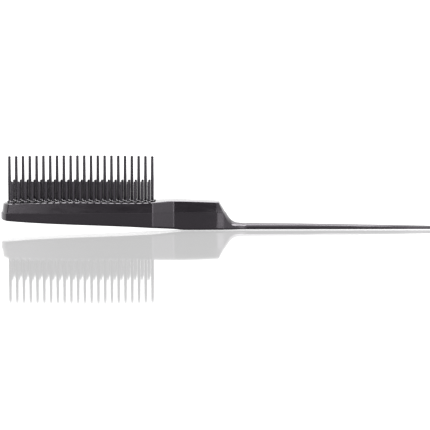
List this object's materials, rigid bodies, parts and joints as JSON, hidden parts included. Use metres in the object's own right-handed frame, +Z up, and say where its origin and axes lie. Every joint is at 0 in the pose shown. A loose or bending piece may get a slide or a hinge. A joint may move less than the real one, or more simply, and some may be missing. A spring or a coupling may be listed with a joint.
{
  "type": "rat tail teasing brush",
  "caption": "Back-combing brush with rows of straight round teeth on a hollow moulded head, a short grip, a stepped neck and a long thin rat tail handle.",
  "frame": {"origin": "middle of the overall length and width, on the surface that the grip and tail rest on", "axes": "+X from the nose of the head to the tip of the tail, +Z up through the teeth, Y across the head"},
  "size_m": [0.24, 0.0226, 0.0412],
  "materials": {
    "casing_black": "glossy moulded polystyrene, lightly rubbed",
    "bed_black": "glossy moulded plastic with raised sockets",
    "tooth_black": "smooth nylon, satin gloss",
    "inner_black": "plain moulded plastic, unpolished"
  },
  "bodies": {
    "root": {"back_shell": "casing_black", "face_shell": "casing_black", "tooth_bed": "bed_black", "root_plate": "inner_black", "long_teeth": "tooth_black", "short_teeth_front": "tooth_black", "short_teeth_back": "tooth_black"}
  },
  "joints": []
}
